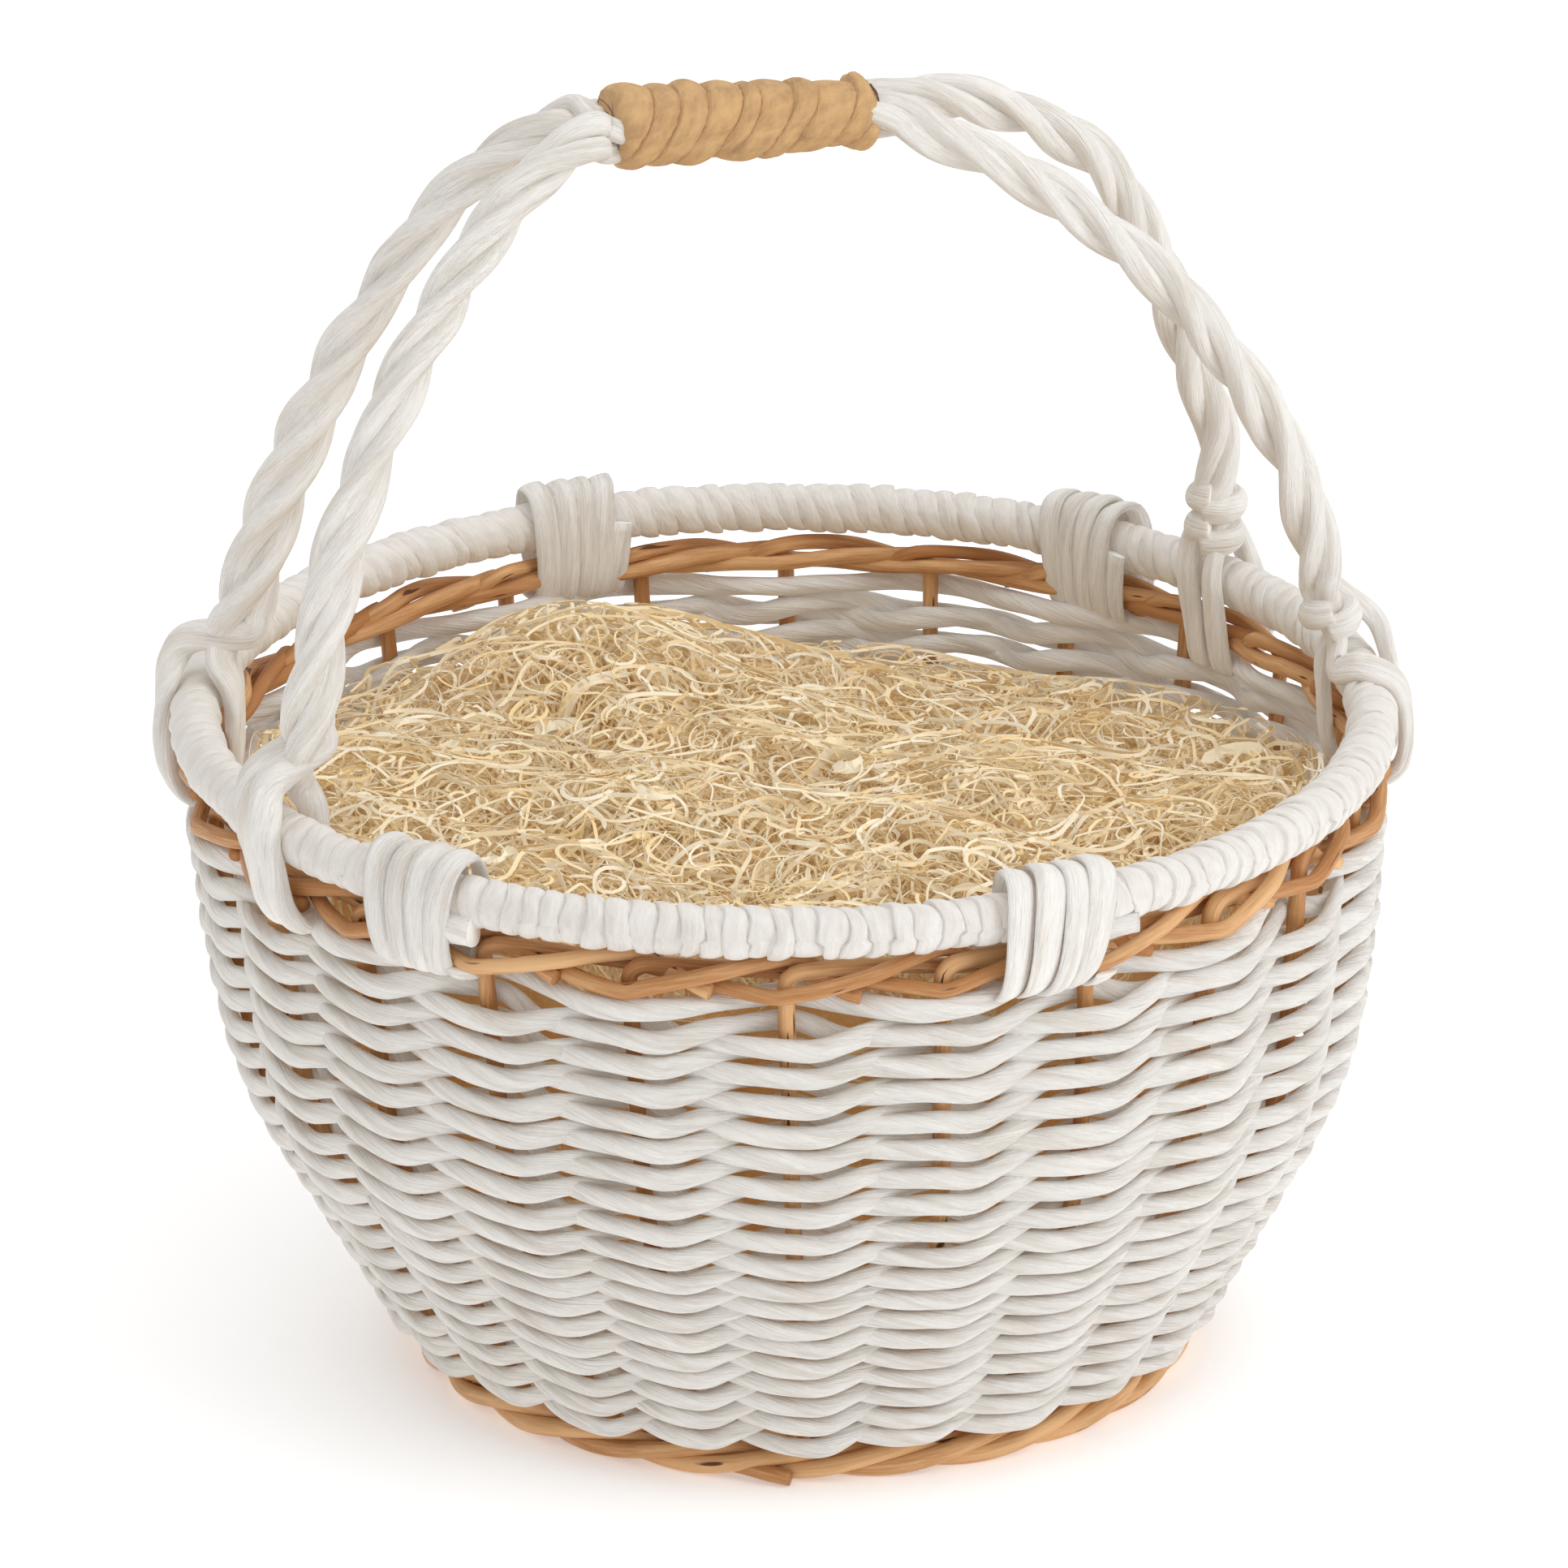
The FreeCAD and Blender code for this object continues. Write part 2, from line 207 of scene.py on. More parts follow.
class Signal:
    """A socket of a material, so that shader maths is written as plain arithmetic."""

    def __init__(self, tree, socket=None):
        self.tree = tree
        self.socket = socket

    def node(self, kind, settings=None, inputs=None, output=0):
        """A new node: its settings come first, then the values or links of its sockets."""
        made = self.tree.nodes.new(kind)
        for key, value in (settings or {}).items():
            if key == "stops":
                while len(made.color_ramp.elements) < len(value):
                    made.color_ramp.elements.new(0.5)
                for element, (position, colour) in zip(made.color_ramp.elements, value):
                    element.position = position
                    element.color = colour
            else:
                setattr(made, key, value)
        for key, value in (inputs or {}).items():
            if isinstance(value, Signal):
                self.tree.links.new(value.socket, made.inputs[key])
            else:
                made.inputs[key].default_value = value
        return Signal(self.tree, made.outputs[output])

    def math(self, operation, *values):
        return self.node("ShaderNodeMath", {"operation": operation}, dict(enumerate(values)))

    def mix(self, low, high):
        """From one colour to another, by this value."""
        return self.node("ShaderNodeMix", {"data_type": "RGBA"}, {0: self, 6: low, 7: high}, 2)

    def __add__(self, other):
        return self.math("ADD", self, other)

    def __sub__(self, other):
        return self.math("SUBTRACT", self, other)

    def __rsub__(self, other):
        return self.math("SUBTRACT", other, self)

    def __mul__(self, other):
        return self.math("MULTIPLY", self, other)

    __radd__ = __add__
    __rmul__ = __mul__

    def between(self, low, high):
        """0 below the low value, 1 above the high one, and smooth between them."""
        limits = {"Value": self, "From Min": low, "From Max": high}
        return self.node("ShaderNodeMapRange", {"interpolation_type": "SMOOTHSTEP"}, limits)

    def noise(self, place, scale, detail=2.0, roughness=0.5):
        inputs = {"Vector": place, "Scale": scale, "Detail": detail, "Roughness": roughness}
        return self.node("ShaderNodeTexNoise", None, inputs)

    def fibres(self, twist, across, along):
        """Where each fibre lies on a rod: they wind round it, so many turns to the metre."""
        lay = self.node("ShaderNodeUVMap", {"uv_map": "lay"})
        share = self.node("ShaderNodeSeparateXYZ", None, {0: lay})
        length = self.node("ShaderNodeSeparateXYZ", None, {0: lay}, 1)
        tone = self.tone()
        turn = (share + length * twist) * (2 * math.pi)
        inputs = {
            0: turn.math("COSINE", turn) * across + tone * 31,
            1: turn.math("SINE", turn) * across + tone * 17,
            2: length * along + tone * 53,
        }
        return self.node("ShaderNodeCombineXYZ", None, inputs)

    def tone(self):
        """A random number that differs from strand to strand."""
        return self.node("ShaderNodeAttribute", {"attribute_name": "tone"}, None, 2)


def finish(name, colour, roughness, height=None, strength=0.5, depth=0.0005, **constants):
    """A material from what varies over it. The constants go straight to the shader's sockets."""
    material = bpy.data.materials[name]
    tree = material.node_tree
    shader = tree.nodes["Principled BSDF"]
    for key, value in (("Base Color", colour), ("Roughness", roughness)):
        if isinstance(value, Signal):
            tree.links.new(value.socket, shader.inputs[key])
        else:
            shader.inputs[key].default_value = value
    for key, value in constants.items():
        shader.inputs[key.replace("_", " ")].default_value = value
    if height is not None:
        inputs = {"Height": height, "Strength": strength, "Distance": depth}
        bump = height.node("ShaderNodeBump", None, inputs)
        tree.links.new(bump.socket, shader.inputs["Normal"])
    return material


def start_finish(name):
    """A new material, and the signal that its nodes start from."""
    material = bpy.data.materials.new(name)
    material.use_nodes = True
    return Signal(material.node_tree)


def make_willow(name, light, dark):
    """Peeled, steamed willow: fine grain along the rod, darker patches and a few knots."""
    wood = start_finish(name)
    grain = wood.noise(wood.fibres(2, 3.2, 90), 1.0, 5, 0.65)
    patches = wood.noise(wood.fibres(0, 0.5, 22), 1.0, 2)
    spots = wood.noise(wood.fibres(0, 0.9, 60), 1.0, 1)
    knots = spots.between(0.705, 0.76)
    shade = (grain * 0.55 + patches * 0.6 + wood.tone() * 0.34).between(0.50, 0.92)
    colour = knots.mix(shade.mix(light, dark), WILLOW_KNOT)
    height = grain * 0.7 + patches * 0.5 - knots * 0.5
    return finish(name, colour, grain * 0.3 + 0.32, height, 0.4, 0.0006, Specular_IOR_Level=0.3)


def willow_rod(path, radius, sides=12, guide=None, closed=False):
    """A willow rod: not quite round, and swollen here and there where a bud was."""
    count = len(path)
    swell = 1 + 0.05 * wander(count, max(3, count // 14), closed)
    turn = np.linspace(0, 2 * math.pi, sides, endpoint=False)
    oval = 1 + 0.035 * np.cos(2 * turn + chance.uniform(0, 6))
    return strand(path, radius, radius, sides, guide, closed, swell[:, None] * oval)


willow = make_willow("steamed_willow", WILLOW_LIGHT, WILLOW_DARK)
stick_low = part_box("base_sticks_lower")
stick_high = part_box("base_sticks_upper")
base_level = (stick_low[0].z + stick_high[1].z) / 2
stick_radius = (stick_low[1].z - stick_low[0].z) / 2
base_reach = stick_low[1].x
fanned = base_reach - STICK_STRAIGHT
for turn, node, lift in ((0, "base_sticks_lower", -1), (90, "base_sticks_upper", 1)):
    sticks = []
    for row in (-1, 0, 1):
        fan = math.radians(STICK_FAN * row)
        beside = STICK_SPACING * row
        middle = base_level + lift * stick_radius
        end = STICK_STRAIGHT + fanned * math.cos(fan)
        spread = beside + fanned * math.sin(fan)
        route = [(-end, spread, base_level), (-end / 2, spread * 0.52, base_level)]
        route += [(-STICK_CROSSING, beside, middle), (STICK_CROSSING, beside, middle)]
        route += [(end / 2, spread * 0.52, base_level), (end, spread, base_level)]
        path = smooth_path(route, 3 * MM)
        cos, sin = math.cos(math.radians(turn)), math.sin(math.radians(turn))
        flat = path[:, :2] @ np.array([[cos, sin], [-sin, cos]])
        sticks.append(willow_rod(np.c_[flat, path[:, 2]], BASE_ROD_RADIUS))
    build(node.replace("base_", "willow_"), sticks, willow, "basket", "willow", node)

for side, node in ((-1, "base_weave_under"), (1, "base_weave_over")):
    rods = []
    for row in range(BASE_ROWS):
        step = (base_reach + BASE_ROWS_PAST - BASE_FIRST_ROW) / (BASE_ROWS - 1)
        radius = BASE_FIRST_ROW + row * step
        spokes = SPOKES if row < SINGLE_ROWS else 2 * SPOKES
        angle = np.linspace(0, 360, BASE_POINTS, endpoint=False)
        flip = side if row % 2 else -side
        wave = flip * BASE_WAVE * np.cos(np.radians(angle) * spokes / 2)
        level = base_level + wave + 0.3 * MM * wander(BASE_POINTS, 30, True)
        rods.append(willow_rod(around(radius, angle, level), BASE_ROD_RADIUS, 8, None, True))
    build(node.replace("base_weave", "willow_weave"), rods, willow, "basket", "willow", node)


# ---- Foot ring ----
# Three willow rods twined together round the edge of the base, which the basket stands on.
# One rod's cut end sticks out at the front.

FOOT_RODS = 3
FOOT_TWINES = 8             # how often a rod winds round the others on its way round the base
FOOT_ROD_RADIUS = 2.55 * MM
FOOT_LEVEL = 5.3 * MM
FOOT_POINTS = 480
# The cut end: how far out in millimetres, where it is in degrees, and how high in millimetres.
FOOT_TAIL = [(1, 238.0, 4), (4, 243.0, 3.5), (6, 247.5, 2.4)]

foot_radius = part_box("foot_ring")[1].x - 8.2 * MM
rods = []
for number in range(FOOT_RODS):
    angle = np.linspace(0, 360, FOOT_POINTS, endpoint=False)
    twine = np.radians(angle) * FOOT_TWINES + number * 2 * math.pi / FOOT_RODS
    out = foot_radius + 2.9 * MM * np.cos(twine) + 0.3 * MM * wander(FOOT_POINTS, 40, True)
    up = FOOT_LEVEL + 2.7 * MM * np.sin(twine)
    rods.append(willow_rod(around(out, angle, up), FOOT_ROD_RADIUS, 12, None, True))
places = [around(foot_radius + out * MM, turn, up * MM) for out, turn, up in FOOT_TAIL]
tail = smooth_path(np.vstack(places), 2 * MM)
rods.append(willow_rod(tail, 2.2 * MM))
build("willow_foot", rods, willow, "basket", "willow", "foot_ring")


# ---- Stakes and border ----
# Twenty-four willow stakes rise from the base. Over the weave each is bent down to the right,
# behind the next stake, in front of the one after and behind the third, which makes the border.

STAKES = 24
SPACING = 360 / STAKES
STAKE_PHASE = 9.25
ROWS = 18
STRAND_HALF = 3.2 * MM
STAKE_RADIUS = 2.45 * MM
RING_OFFSET = 5.8 * MM      # from a stake's centre to the strand beside it
BORDER_RADIUS = 157.4 * MM
# A stake's bent end: how far out from the border's radius in millimetres, how far round from the
# stake in degrees, and how high in millimetres. It goes behind, in front and behind again.
BORDER_SHAPE = [
    (-0.4, 0, 157), (0.3, 0, 164.6), (0.3, 0.2, 166.8), (0.1, 0.8, 168.2), (-0.8, 2.2, 168.8),
    (-4.0, 9, 168.2), (-5.4, 15, 166.8), (-3.6, 20, 165.6), (1.4, 25.5, 164.4), (4.6, 29, 163.9),
    (5.2, 30.4, 164.0), (4.9, 33, 165.6), (3.2, 38, 168.8), (-1.5, 42.5, 170.8), (-4.6, 46, 171.0),
]

row_places = []
for number in range(ROWS):
    low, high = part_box(f"weave_row_{number + 1:02d}")
    outer_level = low.z + STRAND_HALF
    inner_level = high.z - STRAND_HALF
    slope = math.asin((inner_level - outer_level) / (2 * RING_OFFSET))
    middle = high.x - STRAND_HALF - RING_OFFSET * math.cos(slope)
    row_places.append((middle, (outer_level + inner_level) / 2, slope))
wall_levels = np.array([level for middle, level, slope in row_places])
wall_radii = np.array([middle for middle, level, slope in row_places])
stake_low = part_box("stake_01")[0].z
for number in range(STAKES):
    phase = STAKE_PHASE + number * SPACING
    jog = chance.uniform(-0.5, 0.5) * MM
    route = [(98 * MM, 0, stake_low + 2.3 * MM), (104 * MM, 0, stake_low + 2.6 * MM)]
    route += [(radius, 0, level) for radius, level in zip(wall_radii[::3], wall_levels[::3])]
    end_angle = 45 + chance.uniform(6.0, 8.6)
    end_out = chance.uniform(0.5, 3.5)
    end_level = chance.uniform(161.8, 164.0)
    tail = [
        (-3.0, 48.5, 168.0),
        (end_out - 2.0, end_angle - 2.0, end_level + 1.8),
        (end_out, end_angle, end_level),
    ]
    for out, angle, level in BORDER_SHAPE + tail:
        lift = chance.uniform(-0.45, 0.45) if angle > 3 else 0
        route.append((BORDER_RADIUS + out * MM + jog, angle, (level + lift) * MM))
    points = np.array(route)
    path = smooth_path(around(points[:, 0], phase + points[:, 1], points[:, 2]), 2 * MM)
    taper = np.linspace(1.0, 0.84, len(path)) * chance.uniform(0.93, 1.08)
    rod = willow_rod(path, STAKE_RADIUS * taper)
    node = f"stake_{number + 1:02d}"
    build("willow_" + node, [rod], willow, "basket", "willow", node)


# ---- Weave ----
# Eighteen rows of soft white rope, spun from a ribbon of paper. Two ropes make each row: one
# passes outside a stake while the other passes inside, and they cross over before the next.

PAPER_WHITE = (0.905, 0.888, 0.855, 1.0)
# Painted shade: the colour that the paper takes in the grooves between its folds.
PAPER_PAINTED_SHADE = (0.78, 0.742, 0.68, 1.0)
# Painted light: a weak warm glow on all the paper keeps its folds from going dark, in place of light
# that soaks through it.
PAPER_PAINTED_GLOW = {"Emission_Color": (1.0, 0.80, 0.62, 1.0), "Emission_Strength": 0.075}
ROW_POINTS = STAKES * 24
ROW_STAGGER = 0.75 * MM
# One strand over two stakes: how far past the stake that it passes outside of, in stake spacings,
# and then how far out from the row's middle and how high, in millimetres.
ROW_SHAPE = [
    (-0.68, -1.2, -2.2), (-0.52, 1.2, -1.5), (-0.38, 3.0, -0.8), (-0.18, 4.5, -0.8), (0.0, 4.9, -1.2),
    (0.19, 4.8, -2.0), (0.32, 4.0, -0.5), (0.42, 3.2, 0.9), (0.54, 2.1, 2.1), (0.70, -0.4, 2.7),
    (0.85, -3.2, 2.5), (1.0, -4.9, 2.0), (1.15, -4.4, 0.2),
]
ROW_BULGE = 4.9             # the furthest out that a strand gets
ROW_SMOOTHING = 2           # samples each way over which a bend is rounded


def make_paper(name, light, shade, twist=15, strength=0.9):
    """Twisted paper: long folds and fine fibres that wind round the rope, and painted shade in the
    grooves.
    """
    paper = start_finish(name)
    folds = paper.noise(paper.fibres(twist, 1.1, 30), 1.0, 3, 0.55)
    fibres = paper.noise(paper.fibres(twist, 7.5, 42), 1.0, 4, 0.65)
    # Painted shade where the folds' bump is low, mixed with the fibres' own streaks.
    painted_groove_shade = folds.between(0.32, 0.58)
    colour = (painted_groove_shade * 0.6 + fibres * 0.6).between(0.2, 0.9).mix(shade, light)
    height = folds + fibres * 0.5
    return finish(name, colour, fibres * 0.2 + 0.66, height, strength, 0.0022, **PAPER_PAINTED_GLOW)


def paper_strand(path, wide, thick, twist, guide=None, closed=False, sides=16, fold=0.05):
    """A spun paper rope: soft folds wind round it, and its thickness wanders."""
    count = len(path)
    length = np.sum(np.linalg.norm(np.diff(path, axis=0), axis=1))
    turns = round(twist * length) if closed else twist * length
    wind = 2 * math.pi * turns * np.arange(count) / count
    turn = np.linspace(0, 2 * math.pi, sides, endpoint=False) + wind[:, None]
    drift = 1.2 * wander(count, max(4, count // 16), closed)[:, None]
    folds = np.cos(3 * turn + drift) + 0.6 * np.cos(2 * turn - drift)
    swell = 1 + 0.045 * wander(count, max(4, count // 9), closed)[:, None]
    return strand(path, wide, thick, sides, guide, closed, swell * (1 + fold * folds))


def row_line(column, phase):
    """A strand's offset out or up all round the basket, bent at its stakes and straight between."""
    steps = [place for place, out, up in ROW_SHAPE]
    values = [shape[column] for shape in ROW_SHAPE]
    spots = (angle - STAKE_PHASE) / SPACING - phase
    line = np.interp(spots, steps, values, period=2) * MM
    reach = range(-ROW_SMOOTHING, ROW_SMOOTHING + 1)
    return sum(np.roll(line, shift) for shift in reach) / len(reach)


rope_paper = make_paper("rope_paper", PAPER_WHITE, PAPER_PAINTED_SHADE)
angle = np.linspace(0, 360, ROW_POINTS, endpoint=False)
for number, (middle, level, slope) in enumerate(row_places):
    ropes = []
    sag = 0.45 * MM * wander(ROW_POINTS, 9, True)
    for phase in (0, 1):
        press = np.abs(row_line(1, phase)) / (ROW_BULGE * MM)
        rise = row_line(2, phase) + sag + ROW_STAGGER * (1 if phase else -1)
        rise += 0.5 * MM * wander(ROW_POINTS, STAKES * 2, True)
        out = row_line(1, phase) + 0.35 * MM * wander(ROW_POINTS, STAKES * 2, True)
        radius = middle + out * math.cos(slope) + rise * math.sin(slope)
        height = level - out * math.sin(slope) + rise * math.cos(slope)
        path = around(radius, angle, height)
        guide = around(math.cos(slope), angle, -math.sin(slope))
        fat = 1 + 0.11 * wander(ROW_POINTS, STAKES * 2, True)
        tall = (2.35 + 0.68 * press + 0.2 * number / ROWS) * MM * fat
        thick = (1.9 + 0.45 * press) * MM
        ropes.append(paper_strand(path, tall, thick, 12, guide, True, 20, 0.06))
    node = f"weave_row_{number + 1:02d}"
    build("paper_" + node, ropes, rope_paper, "basket", "paper_rope", node)


# ---- Top strand ----
# One more paper rope lies on the top row, under the border. It passes in front of every other
# stake and behind the ones between, so the bent stakes press it down.

low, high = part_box("weave_top_strand")
level = (low.z + high.z) / 2 + 0.2 * MM
swing = math.pi * (angle - STAKE_PHASE) / SPACING
out = -RING_OFFSET * np.cos(swing)
rise = 1.1 * MM * np.cos(swing + 0.6) + 0.5 * MM * wander(ROW_POINTS, 40, True)
path = around(wall_radii[-1] + 0.6 * MM + out, angle, level + rise)
thick = (2.9 + 0.4 * wander(ROW_POINTS, 40, True)) * MM
ropes = [paper_strand(path, thick, 2.7 * MM, 16, around(1.0, angle, 0.0), True)]
build("paper_top_strand", ropes, rope_paper, "basket", "paper_rope", "weave_top_strand")


# ---- Rim ----
# A willow hoop bound all round with a flat paper ribbon. Each turn lies a little over the one
# before, so its edge stands up, and the ribbon puckers where it goes round the hoop.

# Painted shade: the ribbon's white is set darker than the rope's paper, to tone down the light on the
# rim.
RIBBON_SHADED_WHITE = (0.76, 0.745, 0.72, 1.0)
# Painted shade: the colour that the ribbon takes in its folds.
RIBBON_PAINTED_SHADE = (0.60, 0.565, 0.515, 1.0)
WRAP_PITCH = 6.0 * MM
WRAP_SIDES = 36
# How far through its turn each ring of the ribbon lies.
WRAP_SHARES = (0.0, 0.03, 0.10, 0.24, 0.42, 0.60, 0.76, 0.90, 0.97)

rim_low, rim_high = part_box("rim_wrap")
rim_half = (rim_high.z - rim_low.z) / 2
rim_radius = rim_high.x - rim_half
core = around(rim_radius, np.linspace(0, 360, 240, endpoint=False), RIM_LEVEL)
hoop_half = (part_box("rim_hoop")[1].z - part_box("rim_hoop")[0].z) / 2
hoop = willow_rod(core, hoop_half, 12, None, True)
build("willow_hoop", [hoop], willow, "basket", "willow", "rim_hoop")

turns = round(2 * math.pi * rim_radius / WRAP_PITCH)
rings_in_turn = len(WRAP_SHARES)
count = turns * rings_in_turn
spread = chance.uniform(-0.20, 0.20, turns + 1)
spread[-1] = spread[0]
wrap = np.repeat(np.arange(turns), rings_in_turn)
share = np.tile(WRAP_SHARES, turns)
stretch = share * (1 + spread[wrap + 1] - spread[wrap]) + spread[wrap]
roll = np.linspace(0, 2 * math.pi, WRAP_SIDES, endpoint=False)
ribbon = wrap[:, None] - roll[None] / (2 * math.pi)
slant = 0.55 * np.sin(roll + 0.6)[None] + 0.16 * np.sin(3 * roll[None] + 1.7 * wrap[:, None])
place = (ribbon + stretch[:, None] + slant * 0.5) * 360 / turns
rises = chance.uniform(-1, 1, 4 * turns)
spot = (ribbon * 4) % (4 * turns)
index = spot.astype(int)
ease = spot - index
lumps = rises[index] * (1 - ease) + rises[(index + 1) % (4 * turns)] * ease
edge = np.where(share < 0.02, 0.0, 0.75 + 0.45 * np.sin(math.pi * share) - 0.55 * share)
swell = edge[:, None] * (1.15 + 0.4 * lumps)
pucker = 0.10 * np.sin(9 * roll[None] + 5 * lumps) * (1 - share[:, None])
radius = rim_half - 0.7 * MM + (swell + pucker + 0.25 * lumps) * MM
points = around(rim_radius + radius * np.cos(roll)[None], place, RIM_LEVEL + radius * np.sin(roll)[None])
start = np.arange(count)[:, None]
near = np.arange(WRAP_SIDES)[None]
after = (start + 1) % count
behind = rings_in_turn * (near == WRAP_SIDES - 1)       # the seam meets the turn before
wound = (start - behind) % count
wound_after = (after - behind) % count
far = (near + 1) % WRAP_SIDES
quads = np.stack([start * WRAP_SIDES + near, after * WRAP_SIDES + near,
                  wound_after * WRAP_SIDES + far, wound * WRAP_SIDES + far], -1).reshape(-1, 4)
step = WRAP_PITCH / rings_in_turn
lay = face_lay(near / WRAP_SIDES, 1 / WRAP_SIDES, start * step, (start + 1) * step, (0, 3, 2, 1))


def make_ribbon(name, light, shade, across, along, strength):
    """Flat paper ribbon: fine fibres along it, which run round the thing that it binds, and painted
    shade in its folds.
    """
    paper = start_finish(name)
    fibres = paper.noise(paper.fibres(4, across, along), 1.0, 4, 0.6)
    folds = paper.noise(paper.fibres(8, across * 0.8, along * 0.22), 1.0, 2)
    # Painted shade where the bump is low, in the folds, mixed with the fibres' own streaks.
    colour = (fibres * 0.6 + folds * 0.5).between(0.15, 0.8).mix(shade, light)
    height = fibres * 0.5 + folds
    return finish(name, colour, fibres * 0.2 + 0.6, height, strength, 0.0016, **PAPER_PAINTED_GLOW)


ribbon_paper = make_ribbon("ribbon_paper", RIBBON_SHADED_WHITE, RIBBON_PAINTED_SHADE, 1.2, 1500, 0.45)
cover = (points.reshape(-1, 3), quads, [], lay)
build("paper_rim_wrap", [cover], ribbon_paper, "basket", "paper_ribbon", "rim_wrap")


# ---- Lashings ----
# The rim is tied down to the border in four places. Each tie is one length of paper rope,
# pressed flat and wound side by side over the rim and under the border. Two show a cut end.

LASH_STEPS = 40
LASH_REACH = 8.9            # from the rim's middle to the middle of a turn, in millimetres
# For each: its middle in degrees, its turns, how far apart they are and how far its foot is
# to one side of its top, in millimetres.
LASHINGS = {
    "lashing_front_left": (213.5, 4.4, 6.0, 2.0),
    "lashing_front_right": (275.0, 4.4, 7.0, -3.0),
    "lashing_back_left": (91.5, 4.4, 5.8, 0.0),
    "lashing_back_right": (36.0, 4.4, 5.8, -2.0),
}
# The cut ends that show: half their height, half their thickness and how far they stick out.
CUT_ENDS = {
    "lashing_front_left": (4.6, 3.3, 4.0),
    "lashing_front_right": (3.1, 0.8, 8.0),
}

lash_paper = make_paper("lash_paper", PAPER_WHITE, PAPER_PAINTED_SHADE, 3)
for node, (centre, turns, pitch, foot) in LASHINGS.items():
    low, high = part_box(node)
    top = high.z + 1.2 * MM
    bottom = low.z + 2.0 * MM
    level = (top + bottom) / 2
    count = int(turns * LASH_STEPS)
    turn = np.linspace(0, turns * 2 * math.pi, count) + math.pi * 0.9
    round_out = np.sign(np.cos(turn)) * np.abs(np.cos(turn)) ** 0.7
    round_up = np.sign(np.sin(turn)) * np.abs(np.sin(turn)) ** 0.9
    out = (LASH_REACH * round_out + 0.6 * wander(count, 14)) * MM
    up = ((top - bottom) / 2 - 1.2 * MM) * round_up + 0.4 * MM * wander(count, 14)
    along = (np.linspace(-0.5, 0.5, count) * turns * pitch * (1 + 0.12 * round_up)
             + 1.2 * wander(count, 14) - 0.5 * foot * round_up) * MM
    path = around(rim_radius + out, centre + np.degrees(along / rim_radius), level + up)
    outward = around(round_out, centre, round_up)
    guide = unit(outward) + 0.22 * around(1.0, centre + 90, 0.0)
    wide = (3.7 * pitch / 6 + 0.35 * wander(count, 10)) * MM
    thick = (1.15 + 0.2 * wander(count, 12)) * MM
    ropes = [paper_strand(path, wide, thick, 4, guide, False, 24, 0.022)]
    if node in CUT_ENDS:
        tall, deep, past = CUT_ENDS[node]
        along = turns * pitch / 2 + np.linspace(-12, past, 10)
        angle = centre + np.degrees(along * MM / rim_radius)
        path = around(rim_radius + 5.4 * MM, angle, level - 1.5 * MM)
        guide = around(1.0, np.full(len(along), centre), 0.0)
        ropes.append(paper_strand(path, tall * MM, deep * MM, 12, guide, False, 24, 0.07))
    build("paper_" + node, ropes, lash_paper, "basket", "paper_rope", node)


# ---- Handle ----
# Two ropes of three paper strands, laid side by side at the top. At the rim the strands of each
# leg part: some go over the outside and the others down the inside, and all tuck in under the
# border. On the right a strand is also knotted round each leg just above the rim.

ROPE_PITCH = 73 * MM
ROPE_HALF = 6.5             # half of a rope's thickness, in millimetres
GRIP_SQUEEZE = 1.3          # how much less it is in the grip
GRIP_HOLD = 31 * MM         # how far each way from the grip's middle the squeeze is full
GRIP_FADE = 5 * MM
LEG_CLEAR = 22 * MM         # where the strands begin to part, above the rim's middle
KNOT_REACH = 5.6 * MM       # from a leg's middle to the middle of the strand knotted round it
# For each leg: where it meets the rim in degrees, how far that is from the grip's end, and its
# curve as points that far along and that high, in millimetres. Then come its strands' ways down
# with how far each is shifted, and the right leg's knots: how high above the rim and how steep.
LEGS = {
    "handle_rope_front": {
        "side": -1,
        "left": (193.5, 114, [(8, 350), (21, 347), (39, 338), (70, 307), (92, 270), (106, 232)]),
        "right": (-11.0, 129, [(17, 340), (50, 322), (82, 294), (107, 260), (120, 229)]),
        "left_tucks": (("outside", -4), ("outside", 3), ("inside", 2)),
        "right_tucks": (("outside", 2), ("inside", 3), ("forward", -4)),
        "knots": ((19, 2.5),),
    },
    "handle_rope_back": {
        "side": 1,
        "left": (156.0, 106, [(8, 349), (22, 342), (40, 328), (63, 295), (83, 255), (99, 208)]),
        "right": (18.8, 125, [(29, 342), (60, 329), (86, 309), (106, 275), (116, 247), (125, 224)]),
        "left_tucks": (("bulge", 0), ("inside", -4), ("inside", 4)),
        "right_tucks": (("inside", -5), ("inside", 5), ("outside", 0)),
        "knots": ((25, 1.8), (15, 2.4)),
    },
}
# A strand's way down at the rim: out from the rim's middle, along it and up, in millimetres.
TUCKS = {
    "outside": [(5, 4, 15), (8.6, 1, 5), (9.4, -3, -6), (8.4, -5, -16), (3, -5, -22), (-5, -4, -21)],
    "inside": [(-6, 2, 13), (-9.6, 0, 4), (-9.8, -2, -8), (-9, -3, -18), (-7.5, -3, -23)],
    "forward": [
        (-7, 1, 13), (-8, -6, 6), (-2, -12, 8.6), (7, -16, 5), (9.4, -18, -6), (7.6, -19, -17),
        (0, -19, -22),
    ],
    "bulge": [(4, 2, 16), (8.4, 0, 4), (9.8, -2, -8), (8.6, -3, -18), (4, -4, -26), (-3, -4, -28)],
}

grip_low, grip_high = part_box("grip_wrap")
grip_middle = (grip_low + grip_high) / 2


def leg_path(start, angle, reach, shape):
    """A leg's middle line from the grip's end down to the rim, as points to curve through."""
    foot = around(rim_radius, angle, 0.0)
    level = unit(foot[:2] - start[:2]) * MM
    shape = [(0, start[2] / MM)] + shape + [(reach, 190)]
    return [(*(start[:2] + level * far), high * MM) for far, high in shape]


